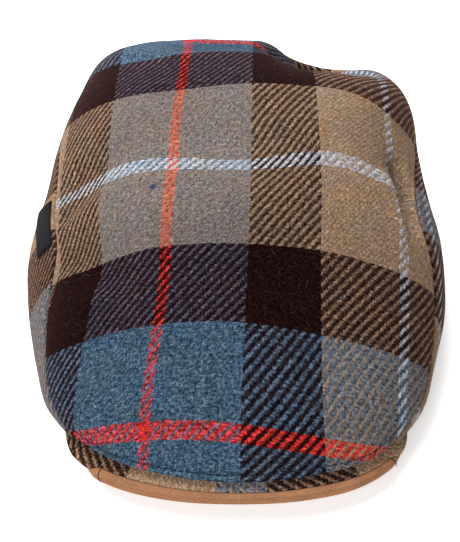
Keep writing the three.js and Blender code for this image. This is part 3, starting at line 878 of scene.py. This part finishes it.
def peak_section(azimuth):
    """Measures of the peak in one direction."""
    free = lip_share(azimuth)
    radius, height = (float(value) for value in foot(azimuth))
    reach = float(along(REACH_AT, REACH_OUT, azimuth)) * lerp(LIP_END["reach"], 1, free)
    inner = float(opening_radius(azimuth)) - CLOTH
    inner_bottom = max(PEAK_INNER_RISE * (1 - (azimuth / (PEAK["end"] + 1)) ** 2), PEAK_CLEAR)
    tucked = float(ease((abs(azimuth) - PEAK["show"] + PEAK_TUCK["before"]) / PEAK_TUCK["run"]))
    seat = height - COVER_CLOTH - 1.5 * SEAM_GAP
    board = min(PEAK_BOARD, seat - PEAK_CLEAR)
    bend = radius + lerp(SEAM_GAP, -CLOTH - SEAM_GAP, tucked)
    slope = lerp(PEAK_SLOPES[0], PEAK_SLOPES[1], tucked)

    def top(at):
        s = (at - inner) / (bend - inner)
        if s > 1:
            return seat - slope * (at - bend)
        return lerp(inner_bottom + board, seat, s) + 4 * PEAK_CAMBER * s * (1 - s)

    cover_edge = radius + lerp(FOOT_INSET, reach, lerp(LIP_END["shown"], COVER["shown"], free))
    return {"radius": radius, "lip": radius + reach, "inner": inner, "inner_bottom": inner_bottom,
            "board": board, "cover_edge": cover_edge, "top": top}


def polar(azimuth, radius, height):
    """Point of the drawing in a direction, at a distance from the middle and a height."""
    turn = math.radians(azimuth)
    return (radius * math.sin(turn), -radius * math.cos(turn), height)


def squared(value):
    """A sine or cosine for a rounded square in place of a circle."""
    return math.copysign(abs(value) ** LIP_SQUARE, value)


def peak_loop(azimuth):
    """Outline of the peak cut in one direction: over the board, round the lip and back along the facing."""
    section = peak_section(azimuth)
    top, inner = section["top"], section["inner"]
    free = lip_share(azimuth)
    start = min(section["cover_edge"] + LIP_GAP, section["lip"] - LIP_END["tuck"])
    lip_top = top(start) + (SEAM_GAP + COVER_CLOTH + LIP_RISE) * free
    lip_bottom = max(lip_top - LIP_DEPTH * lerp(LIP_END["depth"], 1, free), PEAK_CLEAR)
    half_depth = (lip_top - lip_bottom) / 2
    half_width = (section["lip"] - start) / 2
    loop = [(at, top(at)) for at in np.linspace(inner + PEAK_EDGE, section["radius"], PEAK_STEPS)]
    loop += [(start, top(start)), (start, lip_top - LIP_FOLD * half_depth)]
    for turn in np.linspace(*LIP_TURN, LIP_FACETS):
        across = start + half_width * (1 + squared(math.cos(turn)))
        loop.append((across, lip_bottom + half_depth * (1 + squared(math.sin(turn)))))
    for at in np.linspace(section["radius"] - 1, inner + PEAK_EDGE, PEAK_STEPS):
        loop.append((at, max(top(at) - section["board"], PEAK_CLEAR)))
    loop += [(inner, section["inner_bottom"] + share * section["board"]) for share in PEAK_INNER_STEPS]
    return loop


peak_azimuth = np.linspace(-PEAK["end"], PEAK["end"], 2 * PEAK["end"] + 1)
peak_cuts = np.array([[polar(a, *point) for point in peak_loop(a)] for a in peak_azimuth])
peak_rows = peak_cuts.transpose(1, 0, 2)
peak_index = np.arange(peak_rows[..., 0].size).reshape(peak_rows.shape[:2])
peak_faces = quads(np.vstack([peak_index, peak_index[:1]]))
peak_faces += [tuple(peak_index[::-1, 0]), tuple(peak_index[:, -1])]
peak_depth = row_distances(peak_rows)
peak_run = np.broadcast_to(np.radians(peak_azimuth) * PEAK_RADIUS, peak_depth.shape)
peak_map = np.stack([peak_run, peak_depth], axis=-1).reshape(-1, 2)
peak = new_piece("peak_facing", peak_rows.reshape(-1, 3), peak_faces, peak_map)

# Plain weave for the facing and the tab: fine threads over and under, with soft mottling and loose fibres
PLAIN_FIBRES = (1.6, 5.0, 0.7)
PLAIN_MOTTLE = (0.12, 3.0, 0.6)
# Tone: painted shade that makes raised threads lighter and sunk ones darker, and mottling
PLAIN_TONE = {"threads": 0.18, "mottle": 0.7}
PLAIN_HEIGHT = {"threads": 0.5, "fuzz": 1.2}
PLAIN_BUMP = {"strength": 0.4, "distance": 0.35}
PLAIN_INPUTS = {"Cloth": "Vector", "Thread": "Float", "Dark": "Color", "Light": "Color", "Fuzz": "Float"}
plain_group, given, result = new_tree("plain woven cloth", "ShaderNodeTree", PLAIN_INPUTS, WEAVE_OUTPUTS)
t = Tree(plain_group)
place = t.parts(given["Cloth"])
counts = [t.math("DIVIDE", place[axis], given["Thread"]) for axis in (0, 1)]
waves = [t.math("SINE", t.math("MULTIPLY", count, math.pi)) for count in counts]
checker = t.math("MULTIPLY", waves[0], waves[1])
fibres, mottle = (t.noise(given["Cloth"], *marks)[0] for marks in (PLAIN_FIBRES, PLAIN_MOTTLE))
fuzzy = t.math("MULTIPLY", t.math("SUBTRACT", fibres, 0.5), given["Fuzz"])
# The tone follows the threads' relief, as painted shade between them
tone = t.math("ADD", t.math("ADD", t.math("MULTIPLY", checker, PLAIN_TONE["threads"]), 0.5), fuzzy)
mottled = t.math("MULTIPLY", t.math("SUBTRACT", mottle, 0.5), PLAIN_TONE["mottle"])
tone = t.range(t.math("ADD", tone, mottled), 0.0, 1.0, 0.0, 1.0)
t.feed(result["Color"], t.mix(tone, given["Dark"], given["Light"]))
threads = t.math("MULTIPLY", checker, PLAIN_HEIGHT["threads"])
t.feed(result["Height"], t.math("ADD", threads, t.math("MULTIPLY", fuzzy, PLAIN_HEIGHT["fuzz"])))


def plain_cloth(name, thread, dark, light, fuzz, roughness, sheen):
    """A plain woven material; thread is the width of one thread."""
    material, tree, shader = new_material(name, roughness, sheen, light)
    weave = tree.node("ShaderNodeGroup", node_tree=plain_group)
    tree.feed(weave.inputs["Cloth"], cloth_place(tree, "cloth"))
    set_inputs(weave, {"Thread": thread, "Dark": dark, "Light": light, "Fuzz": fuzz})
    tree.feed(shader.inputs["Base Color"], weave.outputs["Color"])
    bump(tree, shader, weave.outputs["Height"], **PLAIN_BUMP)
    return material


tan_cloth = plain_cloth("tan facing", thread=0.6, dark=linear(104, 68, 45), light=linear(184, 134, 100),
                        fuzz=2.6, roughness=1.0, sheen=0.0)
place_piece(peak, tan_cloth, "peak")

# Peak cover
# The checked cloth over the board, pieced from two cuts that meet left of the middle, its colour lightened
# as painted light for the strip that lies in the shade of the crown's front edge.
# It is sewn in under the crown's folded front edge, and a narrow strip of it shows between that and the lip.
COVER_HIDDEN = (0, 0.35, 0.7, 0.9, 1.0)
COVER_SHOWN = (0.35, 0.7, 1.0)
COVER_STEP = 0.75
# Gain on the cover's colour: painted light for its strip in the shade of the crown's front edge
COVER_PAINTED_LIGHT = 1.5
COVER_WARP = 58.0
COVER_JOIN = -4.3
JOIN_GAP = 0.02
# Each cut: a direction, how far its weft there lies from the white line, and the stretch of the cloth
COVER_CUT_COLUMNS = ("azimuth", "weft", "stretch")
COVER_CUTS = {"left": (-22.9, 44.8, 1.0), "right": (6.2, 82.9, 0.954)}
COVER_WEFTS = (4.4, 119.0)


def cover_weft(azimuth):
    """Place of the cover among the weft bands, which end at its edges."""
    cut = dict(zip(COVER_CUT_COLUMNS, COVER_CUTS["left" if azimuth < COVER_JOIN else "right"]))
    run = math.radians(azimuth - cut["azimuth"]) * PEAK_RADIUS
    return WEFT_START + min(max(cut["weft"] - run * cut["stretch"], COVER_WEFTS[0]), COVER_WEFTS[1])


cover_azimuth = np.arange(-COVER["end"], COVER["end"] + COVER_STEP / 2, COVER_STEP)
cover_azimuth = np.sort(np.append(cover_azimuth, [COVER_JOIN - JOIN_GAP, COVER_JOIN + JOIN_GAP]))
cover_under, cover_over, cover_map = [], [], []
for azimuth in cover_azimuth:
    section = peak_section(azimuth)
    start = max(section["radius"] - COVER["inward"], section["inner"] + 1)
    hidden = [lerp(start, section["radius"], share) for share in COVER_HIDDEN]
    shown = [lerp(section["radius"], section["cover_edge"], share) for share in COVER_SHOWN]
    stations = hidden + shown
    floors = [section["top"](at) + SEAM_GAP for at in stations]
    cover_under.append([polar(azimuth, at, z) for at, z in zip(stations, floors)])
    cover_over.append([polar(azimuth, at, z + COVER_CLOTH) for at, z in zip(stations, floors)])
    cover_map.append([(COVER_WARP - (at - section["radius"]), cover_weft(azimuth)) for at in stations])
cover_grids = [np.array(grid).transpose(1, 0, 2) for grid in (cover_over, cover_under)]
cover = cloth_shell("peak_cover_cloth", *cover_grids, np.array(cover_map).transpose(1, 0, 2))
place_piece(cover, checked_wool("checked wool with painted light", COVER_PAINTED_LIGHT), "peak_top_cover")

# Side tab
# A small blank tape of fine black weave, with its ends folded under.
# It is sewn flat to the left side panel, close below the seam.
TAB = {"length": 27, "height": 11.5, "thick": 0.9, "lift": 0.45, "azimuth": -88, "drop": 1.8}
TAB_EDGE = {"roll": 0.9, "share": 0.5}
TAB_GRID = (12, 28)
TAB_FINE_ROWS = 120
tab_seam = float(round_plan(TAB["azimuth"], "left", "right") * seam_share(TAB["azimuth"]))
tab_half = math.degrees(TAB["length"] / 2 / tab_seam)
tab_azimuth = np.linspace(TAB["azimuth"] - tab_half, TAB["azimuth"] + tab_half, TAB_GRID[1] + 1)
tab_fine = np.linspace(0, 1, TAB_FINE_ROWS)
tab_share = lerp(seam_share(tab_azimuth)[None, :], 1, tab_fine[:, None])
tab_lengths = row_distances(cap_surface(tab_azimuth[None, :], tab_share))
tab_drops = TAB["drop"] + TAB["height"] * np.linspace(0, 1, TAB_GRID[0] + 1)
tab_columns = [np.interp(tab_drops, tab_lengths[:, j], tab_share[:, j]) for j in range(len(tab_azimuth))]
tab_points = cap_surface(tab_azimuth[None, :], np.array(tab_columns).T)
tab_normals = grid_normals(tab_points, False)
tab_places = np.meshgrid(np.linspace(0, TAB["length"], TAB_GRID[1] + 1), tab_drops)
tab_map = np.stack(tab_places, axis=-1)
edge_near = np.minimum(tab_places[0], TAB["length"] - tab_places[0])
edge_near = np.minimum(edge_near, np.minimum(tab_drops - tab_drops[0], tab_drops[-1] - tab_drops)[:, None])
tab_top = TAB["lift"] + TAB["thick"] - TAB_EDGE["share"] * rolled(edge_near, TAB_EDGE["roll"])
tab_inner = tab_points + tab_normals * TAB["lift"]
tab = cloth_shell("side_tab", tab_points + tab_normals * tab_top[..., None], tab_inner, tab_map)
black_tape = plain_cloth("black tape", thread=0.45, dark=linear(12, 12, 14), light=linear(36, 36, 40),
                         fuzz=0.4, roughness=0.7, sheen=0.1)
place_piece(tab, black_tape, "side_label")

# Stitching
# Dark thread in runs of short stitches: along the folded front edge, round the tab, in the hem, in the left
# seam and in the tacks that hold the lip. Each stitch is a small rounded length of thread along its path.
STITCH = {"Segments": 8, "Rings": 6, "Radius": 0.5}
STITCH_LEAN = 0.08
STITCH_SEED = 7
# Runs of stitches: from one to the next, length of one and thickness
RUNS = {
    "front_topstitch": (3.2, 2.7, 0.5),
    "tab_stitches": (1.7, 1.25, 0.35),
    "hem_stitches": (3.4, 2.6, 0.5),
    "lip_tacks": (1.0, 1.4, 0.45),
    "seam_stitches": (3.2, 2.9, 0.55),
}
RUN_COLUMNS = ("Spacing", "Length", "Thickness")
STITCH_INPUTS = {"Path": "Geometry", "Spacing": "Float", "Length": "Float", "Thickness": "Float",
                 "Material": "Material"}


def set_out(n, spots, shape, scale, lean):
    """A shape set out on points, each turned a little from its point's own direction, as one mesh."""
    turned = n.node("FunctionNodeRotateRotation", {0: spots.outputs["Rotation"]}, rotation_space="LOCAL")
    n.feed(turned.inputs[1], n.node("FunctionNodeEulerToRotation", {0: lean.outputs[0]}).outputs[0])
    inputs = {"Points": spots.outputs["Points"], "Instance": shape.outputs[0], "Rotation": turned.outputs[0],
              "Scale": scale}
    placed = n.node("GeometryNodeInstanceOnPoints", inputs)
    return n.node("GeometryNodeRealizeInstances", {0: placed.outputs[0]}).outputs[0]


def stitch_tree():
    """Stitches set along a path, each a rounded length of thread."""
    made = {"Stitches": "Geometry"}
    group, given, result = new_tree("row of stitches", "GeometryNodeTree", STITCH_INPUTS, made)
    n = Tree(group)
    path = {0: given["Path"], "Length": given["Spacing"]}
    spots = n.node("GeometryNodeCurveToPoints", path, mode="LENGTH")
    limits = {"Min": (-STITCH_LEAN,) * 3, "Max": (STITCH_LEAN,) * 3, "Seed": STITCH_SEED}
    lean = n.node("FunctionNodeRandomValue", limits, data_type="FLOAT_VECTOR")
    size = {0: given["Thickness"], 1: given["Thickness"], 2: given["Length"]}
    scale = n.node("ShaderNodeCombineXYZ", size).outputs[0]
    sewn = set_out(n, spots, n.node("GeometryNodeMeshUVSphere", STITCH), scale, lean)
    smooth = n.node("GeometryNodeSetShadeSmooth", {0: sewn})
    dressed = n.node("GeometryNodeSetMaterial", {0: smooth.outputs[0], "Material": given["Material"]})
    n.feed(result[0], dressed.outputs[0])
    return group


stitch_group = stitch_tree()
THREAD_TWIST = (2400.0, 3.0, 0.6)
THREAD_DYES = (linear(14, 16, 26), linear(48, 52, 72))
dark_thread, tree, shader = new_material("dark thread", roughness=0.75, sheen=0.1,
                                         sheen_tint=linear(120, 120, 140))
twist = tree.noise(tree.node("ShaderNodeTexCoord").outputs["Object"], *THREAD_TWIST)[0]
tree.feed(shader.inputs["Base Color"], tree.mix(twist, *THREAD_DYES))
bump(tree, shader, twist, strength=0.4, distance=0.15)


def grow(name, draft, group, sizes):
    """The plain mesh that a node tree makes on a draft object, which is then removed."""
    rows = draft.modifiers.new("grown", "NODES")
    rows.node_group = group
    for socket in group.interface.items_tree:
        if socket.name in sizes:
            rows[socket.identifier] = sizes[socket.name]
    depsgraph = bpy.context.evaluated_depsgraph_get()
    mesh = bpy.data.meshes.new_from_object(draft.evaluated_get(depsgraph))
    bpy.data.objects.remove(draft)
    mesh.name = name
    piece = bpy.data.objects.new(name, mesh)
    bpy.context.scene.collection.objects.link(piece)
    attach(piece, "root")


def sew(name, paths):
    """A run of stitches along paths in the drawing's millimetres."""
    curve = bpy.data.curves.new(name, "CURVE")
    curve.dimensions = "3D"
    for path in paths:
        spline = curve.splines.new("POLY")
        spline.points.add(len(path) - 1)
        places = np.hstack([(np.asarray(path) - MIDDLE) * MM, np.ones((len(path), 1))])
        spline.points.foreach_set("co", places.astype(np.float32).ravel())
    draft = bpy.data.objects.new(name + "_path", curve)
    bpy.context.scene.collection.objects.link(draft)
    sizes = {column: value * MM for column, value in zip(RUN_COLUMNS, RUNS[name])}
    grow(name, draft, stitch_group, {**sizes, "Material": dark_thread})


def on_crown(inside, azimuths, lift):
    """Path on the finished crown at a distance inside its seam."""
    path = []
    for azimuth in azimuths:
        j = int(round((azimuth + 180) / 360 * CROWN_COLUMNS)) % CROWN_COLUMNS
        order = np.argsort(from_seam[:, j])
        row = [np.interp(inside, from_seam[order, j], crown_face[order, j, k]) for k in range(3)]
        lifted = [np.interp(inside, from_seam[order, j], crown_normals[order, j, k]) for k in range(3)]
        path.append(np.array(row) + lift * np.array(lifted))
    return path


column_turn = 360 / CROWN_COLUMNS
front_run = np.arange(-TOPSTITCH["end"], TOPSTITCH["end"] + column_turn, column_turn)
sew("front_topstitch", [on_crown(TOPSTITCH["inside"], front_run, TOPSTITCH["lift"])])

# Round the tab, one place of its grid inside the edge
TAB_STITCH_LIFT = 0.05
last_row, last_column = TAB_GRID[0] - 1, TAB_GRID[1] - 1
tab_round = [(1, j) for j in range(1, last_column + 1)] + [(i, last_column) for i in range(1, last_row + 1)]
tab_round += [(last_row, j) for j in range(last_column, 0, -1)] + [(i, 1) for i in range(last_row, 0, -1)]
tab_edge = [tab_points[spot] + tab_normals[spot] * (tab_top[spot] + TAB_STITCH_LIFT) for spot in tab_round]
sew("tab_stitches", [tab_edge])
sew("hem_stitches", hem_lines)

# Tacks of the same thread over the lip, and a few open stitches in the left seam
TACK = {"turn": 0.1, "out": 0.1, "lift": 0.12, "facets": LIP_FACETS - 3}
SEAM_MARKS = ((-75.4, -71.6), (-69.9, -67.4))
MARK = {"inside": 0.9, "lift": 0.15}
lip_paths = []
for azimuth in (LIP_TACKS["left"], LIP_TACKS["right"]):
    lip = peak_loop(azimuth)[PEAK_STEPS + 1:][:TACK["facets"]]
    lip_paths.append([polar(azimuth + TACK["turn"] * k, radius + TACK["out"], height + TACK["lift"])
                      for k, (radius, height) in enumerate(lip)])
sew("lip_tacks", lip_paths)
marks = [on_crown(MARK["inside"], np.arange(*ends, column_turn), MARK["lift"]) for ends in SEAM_MARKS]
sew("seam_stitches", marks)

# Stray fibres
# Loose wool that stands off the cloth all over, a few millimetres long, spun in and brushed up in wear.
# Each fibre is a thin bent thread with one end in the cloth. The turned hem, pressed flat, has none.
FIBRE = {"per_area": 22000, "length": 3.6, "thick": 0.006, "seed": 11}
# Limits of a fibre's length, as shares of the even one, on the sockets of a random value
FIBRE_SIZES = {2: 0.5, 3: 1.5}
FIBRE_TILT = 0.3
FIBRE_DYES = ((0.35, linear(46, 58, 80)), (0.5, linear(98, 84, 72)), (0.65, linear(150, 140, 126)))
FIBRE_DYE_NOISE = (160.0, 2.0, 0.5)
# One fibre of length 1, along x and standing off its cloth along z
FIBRE_BEND = {"Resolution": 5, "Start": (0, 0, -0.02), "Middle": (0.5, 0.22, 0.3), "End": (1, 0, 0.12)}
FIBRE_INPUTS = {"Cloth": "Geometry", "Density": "Float", "Length": "Float", "Thickness": "Float",
                "Seed": "Int", "Material": "Material"}
# Rows of a side panel, from its lower edge up, that have no fibres
HEM_ROWS = 3


def fibre_tree():
    """Fibres scattered over a face of cloth, each lying its own way."""
    made = {"Fibres": "Geometry"}
    group, given, result = new_tree("stray fibres", "GeometryNodeTree", FIBRE_INPUTS, made)
    n = Tree(group)
    seed = {"Seed": given["Seed"]}
    spread = {0: given["Cloth"], "Density": given["Density"], **seed}
    spots = n.node("GeometryNodeDistributePointsOnFaces", spread)
    bend = n.node("GeometryNodeCurveQuadraticBezier", FIBRE_BEND)
    ring = n.node("GeometryNodeCurvePrimitiveCircle", {"Resolution": 3, "Radius": given["Thickness"]})
    fibre = n.node("GeometryNodeCurveToMesh", {0: bend.outputs[0], 1: ring.outputs[0], "Fill Caps": True})
    limits = {"Min": (-FIBRE_TILT, -FIBRE_TILT, 0), "Max": (FIBRE_TILT, FIBRE_TILT, 2 * math.pi), **seed}
    lean = n.node("FunctionNodeRandomValue", limits, data_type="FLOAT_VECTOR")
    size = n.node("FunctionNodeRandomValue", {**FIBRE_SIZES, **seed}, data_type="FLOAT")
    length = n.math("MULTIPLY", size.outputs[1], given["Length"])
    laid = set_out(n, spots, fibre, length, lean)
    dressed = n.node("GeometryNodeSetMaterial", {0: laid, "Material": given["Material"]})
    n.feed(result[0], dressed.outputs[0])
    return group


stray_wool, tree, shader = new_material("stray wool", roughness=1.0, sheen=0.0,
                                        sheen_tint=linear(200, 190, 180))
dye = tree.noise(tree.node("ShaderNodeTexCoord").outputs["Object"], *FIBRE_DYE_NOISE)[0]
tree.feed(shader.inputs["Base Color"], tree.ramp(dye, FIBRE_DYES))
fibre_group = fibre_tree()


def scatter_fibres(name, face, ring):
    """Fibres on the outer face of a piece of cloth."""
    index = np.arange(face.shape[0] * face.shape[1]).reshape(face.shape[:2])
    if ring:
        index = np.hstack([index, index[:, :1]])
    draft = new_piece(name + "_cloth", face.reshape(-1, 3), quads(index))
    sizes = {"Density": FIBRE["per_area"], "Length": FIBRE["length"] * MM, "Thickness": FIBRE["thick"],
             "Seed": FIBRE["seed"], "Material": stray_wool}
    grow(name, draft, fibre_group, sizes)


scatter_fibres("crown_fibres", crown_face, True)
for side, face in zip(("left", "right"), side_faces):
    scatter_fibres("side_fibres_" + side, face[:-HEM_ROWS], False)

# Floor, light and camera
# A plain pale floor under soft studio light, and a camera where the photograph's was: in front and above.
FLOOR_SIZE = 6.0
CAMERA_AT = (0.446, -327.13, 392.9)
CAMERA_DOWN = 48.16
CAMERA_LENS = 64.05
CAMERA_SENSOR = 36
CAMERA_SHIFT = (-0.0129, -0.0505)
half = FLOOR_SIZE / 2
floor_corners = [(-half, -half, 0), (half, -half, 0), (half, half, 0), (-half, half, 0)]
floor_mesh = bpy.data.meshes.new("floor")
floor_mesh.from_pydata(floor_corners, [], [(0, 1, 2, 3)])
floor = bpy.data.objects.new("floor", floor_mesh)
bpy.context.scene.collection.objects.link(floor)
pale = bpy.data.materials.new("pale floor")
pale.use_nodes = True
set_inputs(pale.node_tree.nodes["Principled BSDF"],
           {"Base Color": (0.9, 0.9, 0.9, 1), "Roughness": 0.8, "Emission Color": (1, 1, 1, 1),
            "Emission Strength": 0.45})
floor_mesh.materials.append(pale)

world = bpy.data.worlds.new("studio")
bpy.context.scene.world = world
world.use_nodes = True
set_inputs(world.node_tree.nodes["Background"], {"Color": (1, 1, 1, 1), "Strength": 0.16})
LIGHTS_AIM = (0, 0, 0.04)
LIGHTS = {
    "overhead": {"at": (-0.4, 0.5, 1.1), "size": 1.0, "power": 25},
    "front fill": {"at": (-0.5, -1.0, 0.7), "size": 1.0, "power": 11},
    "back rim": {"at": (-0.1, 1.3, 0.6), "size": 0.8, "power": 14},
}
for name, row in LIGHTS.items():
    lamp = bpy.data.lights.new(name, "AREA")
    lamp.size = row["size"]
    lamp.energy = row["power"]
    light = bpy.data.objects.new(name, lamp)
    light.location = row["at"]
    aim = np.array(LIGHTS_AIM) - np.array(row["at"])
    tilt = math.acos(-aim[2] / np.linalg.norm(aim))
    light.rotation_euler = (tilt, 0, math.atan2(aim[0], -aim[1]) + math.pi)
    bpy.context.scene.collection.objects.link(light)

camera_data = bpy.data.cameras.new("camera")
camera_data.lens = CAMERA_LENS
camera_data.sensor_width = CAMERA_SENSOR
camera_data.shift_x, camera_data.shift_y = CAMERA_SHIFT
camera = bpy.data.objects.new("camera", camera_data)
camera.location = [value * MM for value in CAMERA_AT]
camera.rotation_euler = (math.radians(90 - CAMERA_DOWN), 0, 0)
bpy.context.scene.collection.objects.link(camera)
bpy.context.scene.camera = camera
bpy.context.scene.view_settings.view_transform = "Standard"
